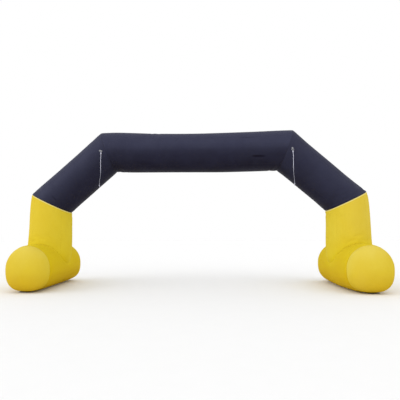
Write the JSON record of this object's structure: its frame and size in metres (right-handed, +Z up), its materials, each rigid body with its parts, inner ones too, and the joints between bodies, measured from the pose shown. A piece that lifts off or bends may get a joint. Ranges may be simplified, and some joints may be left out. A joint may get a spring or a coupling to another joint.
{
  "type": "inflatable arch",
  "caption": "Air-filled event arch of mitred cloth tubes: dark beam and slanting shoulders on yellow legs and front-to-back foot tubes, with short guy ropes.",
  "frame": {"origin": "on the ground, under the middle of the arch", "axes": "+X along the span, +Y from front to back, +Z up"},
  "size_m": [9.052, 2.9164, 4.0236],
  "materials": {
    "dark_cloth": "coated polyester, dark blue grey, satin",
    "yellow_cloth": "coated polyester, warm yellow, satin",
    "black_pad": "black rubberised wear strip, matt",
    "webbing": "light grey woven webbing",
    "ring_steel": "plated wire, worn bright",
    "rope": "light grey braided cord"
  },
  "bodies": {
    "root": {"beam": "dark_cloth", "slant_left": "dark_cloth", "slant_right": "dark_cloth", "leg_left": "yellow_cloth", "leg_right": "yellow_cloth", "foot_left": "yellow_cloth", "foot_right": "yellow_cloth", "cap_left_front": "yellow_cloth", "cap_left_back": "yellow_cloth", "cap_right_front": "yellow_cloth", "cap_right_back": "yellow_cloth", "ground_pad_left": "black_pad", "ground_pad_right": "black_pad", "tab_left": "webbing", "tab_right": "webbing", "ring_left": "ring_steel", "ring_right": "ring_steel", "rope_left": "rope", "rope_right": "rope", "rope_knot_left": "rope", "rope_knot_right": "rope", "rope_end_left": "rope", "rope_end_right": "rope"}
  },
  "joints": []
}
